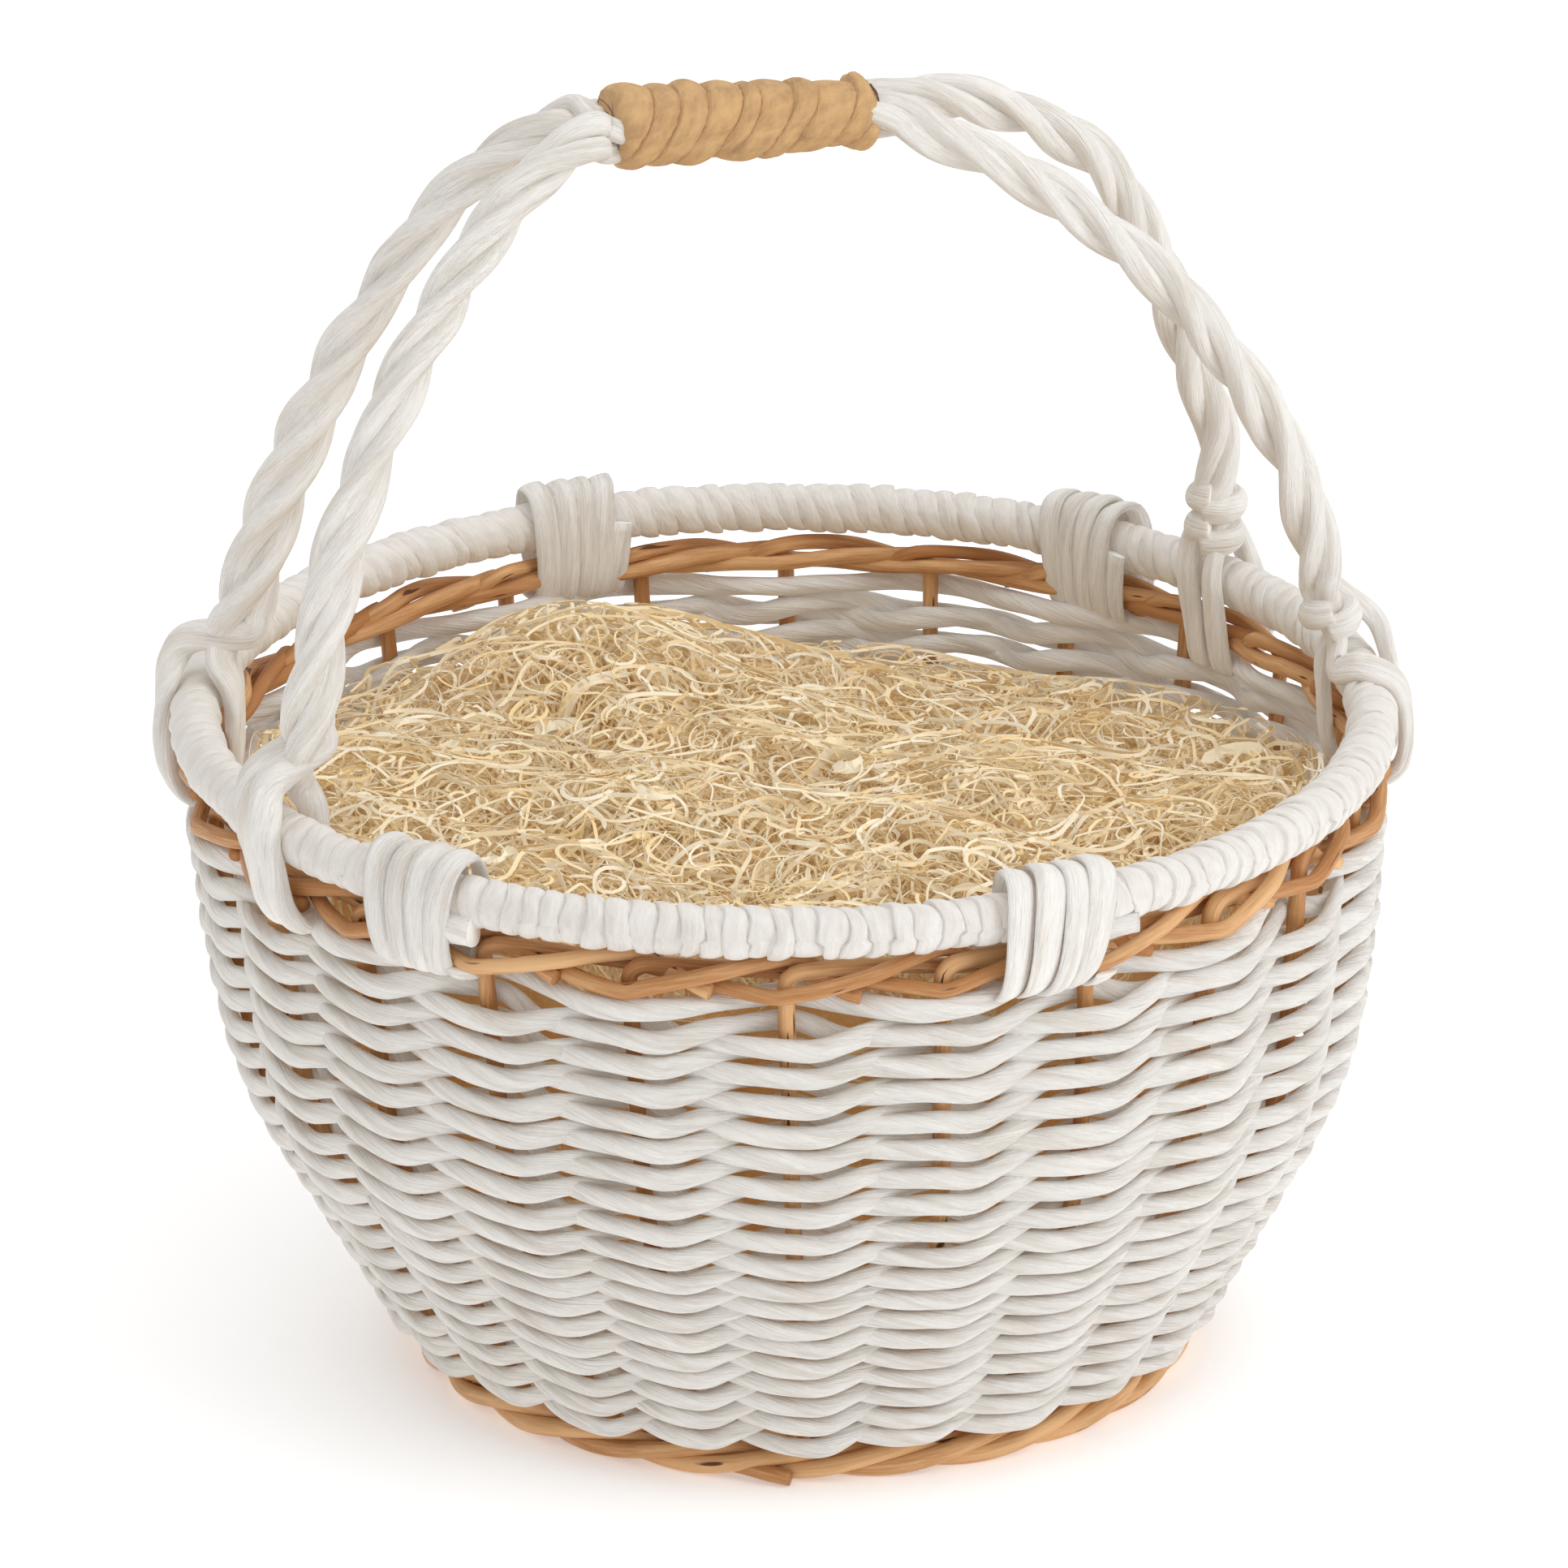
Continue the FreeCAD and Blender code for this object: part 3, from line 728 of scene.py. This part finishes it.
def tuck(angle, way, shift, turned):
    """A strand's way round the rim. On the left, along is counted the other way round."""
    places = []
    for out, along, up in TUCKS[way]:
        swing = angle + turned * math.degrees((along + shift) * MM / rim_radius)
        places.append(around(rim_radius + out * MM, swing, RIM_LEVEL + up * MM))
    return places


def in_grip(path):
    """1 inside the paper grip, and less and less away from it."""
    past = np.maximum(0, np.abs(path[:, 0] - grip_middle.x) - GRIP_HOLD)
    return np.exp(-(past / GRIP_FADE) ** 2)


def rope_half(path):
    """The whole rope's radius: squeezed in the grip, and fattest low on the left-hand legs."""
    low_left = np.clip((0.31 - path[:, 2]) / 0.08, 0, 1) * (path[:, 0] < 0)
    return (ROPE_HALF + 1.5 * low_left - GRIP_SQUEEZE * in_grip(path)) * MM


handle_paper = make_paper("handle_paper", PAPER_WHITE, PAPER_PAINTED_SHADE, 6)
for node, legs in LEGS.items():
    across = grip_middle.y + legs["side"] * 5.2 * MM
    left = np.array([grip_low.x + 3 * MM, across + legs["side"] * 0.8 * MM, grip_middle.z + 3 * MM])
    right = np.array([grip_high.x - 3 * MM, across, grip_middle.z - 0.5 * MM])
    left[2] += legs["side"] * 0.8 * MM
    points = leg_path(left, *legs["left"])[::-1] + leg_path(right, *legs["right"])
    middle = smooth_path(points, 1.5 * MM)
    count = len(middle)
    normal = carry(middle)
    other = np.cross(steer(middle), normal)
    length = np.r_[0, np.cumsum(np.linalg.norm(np.diff(middle, axis=0), axis=1))]
    clear = middle[:, 2] > RIM_LEVEL + LEG_CLEAR
    loose = 1 + 0.10 * wander(count, 9)
    strands = []
    for number in range(3):
        turn = 2 * math.pi * (length / ROPE_PITCH + number / 3) + 0.35 * wander(count, 12)
        lay_radius = rope_half(middle) * 0.52 * loose * (1 + 0.08 * wander(count, 16))
        lay_round = normal * np.cos(turn)[:, None] + other * np.sin(turn)[:, None]
        helix = (middle + lay_radius[:, None] * lay_round)[clear][::3]
        start = tuck(legs["left"][0], *legs["left_tucks"][number], -1)[::-1]
        end = tuck(legs["right"][0], *legs["right_tucks"][number], 1)
        path = smooth_path(np.vstack(start + [helix] + end), 1.4 * MM)
        low_down = np.clip((RIM_LEVEL + 24 * MM - path[:, 2]) / (26 * MM), 0, 1)
        half = rope_half(path) * 0.50 * (1 + 0.30 * low_down) * (1 + 0.07 * wander(len(path), 40))
        flat = 1 - 0.52 * low_down
        swing = np.degrees(np.arctan2(path[:, 1], path[:, 0]))
        past_rim = np.hypot(path[:, 0], path[:, 1]) - rim_radius
        guide = unit(around(past_rim, swing, 0.5 * (path[:, 2] - RIM_LEVEL)))
        lay = carry(path)
        for part in (slice(None, len(path) // 2), slice(len(path) // 2, None)):
            change = (low_down * (1 - low_down))[part, None]
            lay[part] *= 1 if np.sum(lay[part] * guide[part] * change) > 0 else -1
        guide = lay * (1 - low_down)[:, None] + guide * low_down[:, None]
        strands.append(paper_strand(path, half, half * flat, 8, guide, False, 28, 0.085))
    for height, tilt in legs["knots"]:
        near = np.argmin(np.abs(middle[:, 2] - RIM_LEVEL - height * MM) + (middle[:, 0] < 0))
        turn = np.linspace(0, 2.1 * math.pi, 40)[:, None]
        coil = KNOT_REACH * (normal[near] * np.cos(turn) + other[near] * np.sin(turn))
        coil = coil + middle[near] + steer(middle)[near] * (turn / math.pi - 1.1) * tilt * MM
        strands.append(paper_strand(coil, 4.1 * MM, 3.0 * MM, 8, coil - middle[near], False, 24, 0.03))
    build("paper_" + node, strands, handle_paper, "basket", "handle_rope", node)


# ---- Grip ----
# Brown kraft paper ribbon wound tightly round both ropes, nine turns from left to right, with
# the last turn tucked in. It is crumpled, so its edges stand up and its surface is creased.

KRAFT_LIGHT = (0.60, 0.36, 0.14, 1.0)
# The kraft's own darker tone, which also serves as painted shade in its folds.
KRAFT_DARK_AND_SHADE = (0.30, 0.145, 0.045, 1.0)
GRIP_TURNS = 9
GRIP_PITCH = 8 * MM
GRIP_SIDES = 64
# How far through its turn each ring of the paper lies.
GRIP_SHARES = (0.0, 0.03, 0.08, 0.18, 0.32, 0.46, 0.60, 0.74, 0.86, 0.94, 0.98)
GRIP_SQUARENESS = 2.4       # of the section: 2 is an oval and more is squarer

wrap = np.repeat(np.arange(-1, GRIP_TURNS + 1), len(GRIP_SHARES))
share = np.tile(GRIP_SHARES, GRIP_TURNS + 2)
count = len(wrap)
roll = np.linspace(0, 2 * math.pi, GRIP_SIDES + 1)[None]
uneven = chance.uniform(-0.22, 0.22, GRIP_TURNS + 3)
stretch = share * (1 + uneven[wrap + 2] - uneven[wrap + 1]) + uneven[wrap + 1]
wound = wrap[:, None] - roll / (2 * math.pi)
place = wound + stretch[:, None] + 0.55 * np.sin(roll)
place = np.clip(place, -0.02, GRIP_TURNS) / GRIP_TURNS
rises = chance.uniform(-1, 1, 6 * (GRIP_TURNS + 4))
spot = np.clip((wound + 2) * 6, 0, len(rises) - 2)
index = spot.astype(int)
lumps = rises[index] * (1 - spot + index) + rises[index + 1] * (spot - index)
edge = np.sin(math.pi * (0.2 + 0.62 * share))
edge = np.where(share < 0.01, 0.0, np.where(share < 0.04, 0.55, edge))[:, None]
creases = 0.24 * np.sin(14 * roll + 9 * lumps + 3 * wrap[:, None]) + 0.18 * np.sin(23 * roll - 7 * lumps)
swell = edge * (2.1 + 0.8 * lumps) + 0.6 * lumps + creases * (1 - 0.4 * share[:, None]) - 1.3
pinch = 1 - 0.36 * np.exp(-np.maximum(place, 0) * 90) - 0.30 * np.exp(-(1 - place) * 90)
half_tall = (9.3 - 1.2 * place) * pinch + swell
half_deep = (13.0 - 1.6 * place) * pinch + swell
square = np.abs(np.cos(roll)) ** GRIP_SQUARENESS + np.abs(np.sin(roll)) ** GRIP_SQUARENESS
square = square ** (-1 / GRIP_SQUARENESS) * MM
points = np.stack([
    grip_low.x + 1.5 * MM + place * (grip_high.x - grip_low.x - 1.5 * MM),
    grip_middle.y + half_deep * np.cos(roll) * square,
    grip_middle.z + (3.4 - 3.6 * place) * MM + half_tall * np.sin(roll) * square,
], -1)
sides = GRIP_SIDES + 1
start = np.arange(count - 1)[:, None]
near = np.arange(GRIP_SIDES)[None]
quads = np.stack([start * sides + near, (start + 1) * sides + near,
                  (start + 1) * sides + near + 1, start * sides + near + 1], -1).reshape(-1, 4)
step = GRIP_PITCH / len(GRIP_SHARES)
lay = face_lay(near / GRIP_SIDES, 1 / GRIP_SIDES, start * step, (start + 1) * step, (0, 3, 2, 1))
kraft = make_ribbon("kraft", KRAFT_LIGHT, KRAFT_DARK_AND_SHADE, 2.2, 700, 0.9)
cover = (points.reshape(-1, 3), quads, [], lay)
build("kraft_grip", [cover], kraft, "basket", "kraft_paper", "grip_wrap")


# ---- Wood wool ----
# The basket is filled with wood wool: long thin shavings of pale softwood, curled and tangled.
# It lies loose, so it moves by itself. Under the loose curls is a packed mass of the same stuff.

WOOL_PALE = (0.94, 0.88, 0.72, 1.0)
WOOL_GOLD = (0.90, 0.70, 0.38, 1.0)
WOOL_BROWN = (0.66, 0.34, 0.13, 1.0)
# Painted shade: the packed mass under the curls is a darker orange-brown than the loose wool.
PACKED_PAINTED_SHADE = (0.72, 0.34, 0.10, 1.0)
# Painted light: a weak warm glow on the thin shavings stands in for light that soaks through them, with
# more of it on the imported mass.
WOOL_PAINTED_GLOW = {"Emission_Color": (1.0, 0.62, 0.28, 1.0), "Emission_Strength": 0.03}
PACKED_PAINTED_GLOW = {"Emission_Color": (1.0, 0.48, 0.15, 1.0), "Emission_Strength": 0.10}
PACKED_RINGS = 46
PACKED_SPOKES = 144
PACKED_DEPTH = 5 * MM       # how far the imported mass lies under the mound's top
WOOL_HEAPS = 5
CURLS_IN_HEAP = 900
CURL_POINTS = 42
CURL_LENGTH = 2.5 * MM      # of one face along a shaving, for its streaks
CURL_THICK = 0.09 * MM      # half of a shaving's thickness
BRIM_LEVEL = 145 * MM       # where the mound meets the wall
SIDE_CURLS = 900
SIDE_POINTS = 20
HEAP_TURN = math.radians(-20.75)        # which way round the mound's slope faces

wool_low, wool_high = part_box("wood_wool")
inner_wall = RING_OFFSET + STRAND_HALF + 1.0 * MM


def wall_inside(level):
    """The free radius inside the wall at a height."""
    return np.interp(level, wall_levels, wall_radii) - inner_wall


def mound(x, y):
    """The height of the filling's top: heaped at the back left, and low along the back wall."""
    across = x * math.cos(HEAP_TURN) + y * math.sin(HEAP_TURN)
    deep = -x * math.sin(HEAP_TURN) + y * math.cos(HEAP_TURN)
    heap = 21 * MM * np.exp(-((across + 0.050) ** 2 + (deep - 0.098) ** 2) / 0.0021)
    fall = 0.155 * np.maximum(deep, -0.04) + 0.02 * across
    lumps = 2.4 * MM * np.sin(61 * x + 1.3) * np.sin(53 * y - 0.4) + 1.4 * MM * np.sin(130 * x + 90 * y)
    return wool_high.z - 15 * MM - fall + heap + lumps


def make_wool(name):
    """Pale softwood shavings, from cream to straw gold, and a few brown ones."""
    wool = start_finish(name)
    tone = wool.node("ShaderNodeAttribute", {"attribute_name": "shade"}, None, 2)
    streaks = wool.noise(wool.fibres(0, 2.5, 60), 1.0, 3)
    stops = [(0.0, WOOL_PALE), (0.72, WOOL_GOLD), (0.95, WOOL_GOLD), (1.0, WOOL_BROWN)]
    ramp = wool.node("ShaderNodeValToRGB", {"stops": stops}, {0: tone * 0.92 + streaks * 0.16 - 0.08})
    return finish(name, ramp, 0.38, streaks, 0.3, 0.0003, **WOOL_PAINTED_GLOW)


def set_shade(piece, values):
    """How golden each shaving is."""
    shade = piece.data.attributes.new("shade", "FLOAT", "POINT")
    shade.data.foreach_set("value", values)


wool = make_wool("softwood_wool")

angle = np.linspace(0, 360, PACKED_SPOKES, endpoint=False)
surface = []
brim_radius = wall_inside(BRIM_LEVEL) - 3 * MM
brim = around(brim_radius, angle, 0.0)
brim_level = mound(brim[:, 0], brim[:, 1]) - PACKED_DEPTH
for share in np.linspace(0, 1, PACKED_RINGS):
    if share < 0.5:
        height = wool_low.z + (brim_level - wool_low.z) * share / 0.5
        radius = (wall_inside(height) - 2.5 * MM) * (1 + 0.012 * wander(PACKED_SPOKES, 30, True))
        surface.append(around(radius, angle, height))
    else:
        radius = brim_radius * math.cos((share - 0.5) * math.pi)
        flat = around(max(radius, 0.5 * MM), angle, 0.0)
        rough = 1.2 * MM * wander(PACKED_SPOKES, 40, True)
        flat[:, 2] = mound(flat[:, 0], flat[:, 1]) - PACKED_DEPTH + rough
        surface.append(flat)
surface = np.vstack(surface)
first = np.arange(PACKED_RINGS - 1)[:, None] * PACKED_SPOKES
last = first + PACKED_SPOKES
near = np.arange(PACKED_SPOKES)[None]
far = (near + 1) % PACKED_SPOKES
quads = np.stack([first + near, first + far, last + far, last + near], -1).reshape(-1, 4)
top = len(surface) - PACKED_SPOKES
caps = [list(range(PACKED_SPOKES))[::-1], list(range(top, len(surface)))]
# Its finish follows no strand, so every face has the same lay.
lay = np.tile(np.array([[0, 0], [1, 0], [1, 1], [0, 1]]) * 0.02, (len(quads), 1))
packed = start_finish("packed_wool")
spot = packed.node("ShaderNodeTexCoord", None, None, 3)
tangle = packed.noise(spot, 260.0, 6, 0.7)
streaks = packed.noise(spot, 90.0, 4, 0.6)
# Painted shade: brown where the tangle's bump is low, gold where it is high.
stops = [(0.35, PACKED_PAINTED_SHADE), (0.8, WOOL_GOLD)]
colour = packed.node("ShaderNodeValToRGB", {"stops": stops}, {0: tangle * 0.6 + streaks * 0.4})
packed_wool = finish("packed_wool", colour, 0.7, tangle, 1.0, 0.003, **PACKED_PAINTED_GLOW)
core = (surface, quads, caps, lay)
build("wool_packed", [core], packed_wool, "nest", "wood_wool", "wood_wool")


def curl_paths(count, start, level_spread, steps):
    """Random curls: each turns one way for a while, then another, and rises and dips."""
    pace = chance.uniform(1.4, 3.0, (count, 1)) * MM
    bend = chance.normal(0, 0.16, (count, 1))
    bend = bend + 0.16 * np.cumsum(chance.normal(0, 0.45, (count, steps)), axis=1)
    heading = chance.uniform(0, 2 * math.pi, (count, 1))
    heading = heading + np.cumsum(np.clip(bend, -0.75, 0.75), axis=1)
    wave = np.linspace(0, 1, steps) * chance.uniform(2, 9, (count, 1))
    dip = 0.95 * np.sin(wave + chance.uniform(0, 6, (count, 1)))
    flat = np.cos(dip) * pace
    x = start[:, :1] + np.cumsum(flat * np.cos(heading), axis=1)
    y = start[:, 1:2] + np.cumsum(flat * np.sin(heading), axis=1)
    rise = np.cumsum(np.sin(dip) * pace * 0.8, axis=1)
    rise -= rise.mean(axis=1, keepdims=True)
    return x, y, rise + level_spread


def shavings(path, half_wide):
    """Thin flat ribbons along many paths at once, each turning slowly about its own line."""
    count, steps = path.shape[:2]
    ahead = unit(np.gradient(path, axis=1) + 1e-9)
    roll = chance.uniform(0, math.pi, (count, 1))
    roll = roll + np.linspace(0, 1, steps) * chance.normal(0, 2.2, (count, 1))
    side = unit(np.cross(ahead, (0.0, 0.0, 1.0)) + 1e-6)
    up = np.cross(side, ahead)
    across = side * np.cos(roll)[..., None] + up * np.sin(roll)[..., None]
    through = np.cross(ahead, across)
    taper = np.ones(steps)
    taper[0] = 0.3
    taper[-1] = 0.3
    wide = (half_wide * taper)[..., None] * across
    low = path - CURL_THICK * through
    high = path + CURL_THICK * through
    corners = np.stack([low - wide, low + wide, high + wide, high - wide], 2)
    step = np.arange(steps - 1)[None, :, None]
    first = (np.arange(count)[:, None, None] * steps + step) * 4
    near = np.arange(4)
    far = (near + 1) % 4
    quads = np.stack([first + near, first + far, first + 4 + far, first + 4 + near], -1).reshape(-1, 4)
    starts = np.arange(count)[:, None] * steps * 4
    ends = np.concatenate([starts + near[::-1], starts + (steps - 1) * 4 + near])
    along = np.broadcast_to(step * CURL_LENGTH, first.shape)
    lay = face_lay(near / 4, 1 / 4, along, along + CURL_LENGTH)
    lay = np.vstack([lay, np.zeros((len(ends) * 4, 2))])
    return corners.reshape(-1, 3), np.vstack([quads, ends]), [], lay


for number in range(WOOL_HEAPS):
    count = CURLS_IN_HEAP
    reach = wall_inside(0.150) * np.sqrt(chance.random(count)) * 0.985
    swing = chance.uniform(0, 2 * math.pi, count)
    start = np.c_[reach * np.cos(swing), reach * np.sin(swing)]
    stray = chance.uniform(2, 11, (count, 1)) * (chance.random((count, 1)) > 0.84)
    spread = (chance.normal(-1.5, 2.6, (count, 1)) + stray) * MM
    x, y, rise = curl_paths(count, start, spread, CURL_POINTS)
    far = np.hypot(x, y)
    limit = wall_inside(0.152) - chance.uniform(1.5, 9, (count, 1)) * MM
    pull = np.where(far > limit, (limit + 0.25 * np.minimum(far - limit, 6 * MM)) / far, 1.0)
    x = x * pull
    y = y * pull
    z = mound(x, y) + np.clip(rise, -8 * MM, 15 * MM)
    paths = np.stack([x, y, z], -1)
    half = chance.uniform(0.24, 0.66, (count, 1)) * MM
    half = np.where(chance.random((count, 1)) > 0.993, 1.8 * MM, half)
    piece = build(f"wool_curls_{number + 1}", [shavings(paths, half)], wool, "nest", "wood_wool")
    tones = np.clip(chance.beta(1.6, 2.4, count), 0, 0.93)
    tones = np.where(chance.random(count) > 0.985, 1.0, tones)
    set_shade(piece, np.repeat(tones, CURL_POINTS * 4))

# More shavings lie against the wall, where they show between the strands.
level = chance.uniform(0.03, 0.140, (SIDE_CURLS, 1))
swing = chance.uniform(0, 2 * math.pi, (SIDE_CURLS, 1))
swing = swing + np.cumsum(chance.normal(0, 0.012, (SIDE_CURLS, SIDE_POINTS)) + 0.014, axis=1)
rise = np.cumsum(chance.normal(0, 0.28, (SIDE_CURLS, SIDE_POINTS)), axis=1)
rise = np.cumsum(rise, axis=1) * 0.35 * MM
height = np.clip(level + rise, 0.026, 0.146)
radius = wall_inside(height) - chance.uniform(0.2, 2.6, (SIDE_CURLS, 1)) * MM
paths = np.stack([radius * np.cos(swing), radius * np.sin(swing), height], -1)
half = chance.uniform(0.42, 1.0, (SIDE_CURLS, 1)) * MM
piece = build("wool_sides", [shavings(paths, half)], wool, "nest", "wood_wool")
tones = np.clip(chance.beta(2.0, 1.8, SIDE_CURLS), 0, 0.93)
set_shade(piece, np.repeat(tones, SIDE_POINTS * 4))


# ---- Floor, light and camera ----
# A plain pale floor, with the main light in front to the right and weaker ones to the left,
# behind and overhead, all broad and soft, in a white room.

CAMERA_TURN = math.radians(-20.75)
CAMERA_RISE = math.radians(21.5)
CAMERA_DISTANCE = 3.6
FRAME_WIDTH = 0.425         # how much of the scene the picture takes in, at the basket
AIM_LEVEL = 0.1594
FLOOR_WHITE = (0.93, 0.93, 0.93, 1.0)
FLOOR_GLOW = {"Emission_Color": FLOOR_WHITE, "Emission_Strength": 0.34}
FLOOR_HALF = 9
ROOM_LIGHT = 0.50
# Each light: how far round to the right of the front and how far up in degrees, how far away and
# how wide in metres, and its power in watts.
LIGHTS = {
    "key": (40, 30, 2.0, 1.3, 13.5),
    "fill": (-70, 20, 2.4, 1.8, 4),
    "back": (165, 50, 2.0, 1.4, 5),
    "top": (0, 82, 1.9, 1.6, 11),
}

floor_mesh = bpy.data.meshes.new("floor")
corners = [(x * FLOOR_HALF, y * FLOOR_HALF, 0) for x, y in ((-1, -1), (1, -1), (1, 1), (-1, 1))]
floor_mesh.from_pydata(corners, [], [(0, 1, 2, 3)])
start_finish("floor")
floor_mesh.materials.append(finish("floor", FLOOR_WHITE, 0.9, **FLOOR_GLOW))
floor = bpy.data.objects.new("floor", floor_mesh)
bpy.context.scene.collection.objects.link(floor)


def add_light(name, turn, rise, distance, size, power):
    """A square soft light that faces the basket."""
    lamp = bpy.data.lights.new(name, "AREA")
    lamp.size = size
    lamp.energy = power
    light = bpy.data.objects.new(name, lamp)
    bpy.context.scene.collection.objects.link(light)
    turn = math.radians(turn)
    rise = math.radians(rise)
    spot = np.array([math.sin(turn) * math.cos(rise), -math.cos(turn) * math.cos(rise), math.sin(rise)])
    light.location = spot * distance
    light.rotation_euler = (math.pi / 2 - rise, 0, turn)


for name, values in LIGHTS.items():
    add_light(name, *values)

world = bpy.data.worlds.new("studio")
world.use_nodes = True
room = world.node_tree.nodes["Background"]
room.inputs["Color"].default_value = (1.0, 1.0, 1.0, 1.0)
room.inputs["Strength"].default_value = ROOM_LIGHT
bpy.context.scene.world = world
bpy.context.scene.view_settings.view_transform = "Standard"

lens = bpy.data.cameras.new("camera")
lens.sensor_width = 36
lens.lens = 36 * CAMERA_DISTANCE / FRAME_WIDTH
lens.clip_end = 50
camera = bpy.data.objects.new("camera", lens)
bpy.context.scene.collection.objects.link(camera)
camera.location = (
    CAMERA_DISTANCE * math.sin(CAMERA_TURN) * math.cos(CAMERA_RISE),
    -CAMERA_DISTANCE * math.cos(CAMERA_TURN) * math.cos(CAMERA_RISE),
    AIM_LEVEL + CAMERA_DISTANCE * math.sin(CAMERA_RISE),
)
camera.rotation_euler = (math.pi / 2 - CAMERA_RISE, 0, CAMERA_TURN)
bpy.context.scene.camera = camera
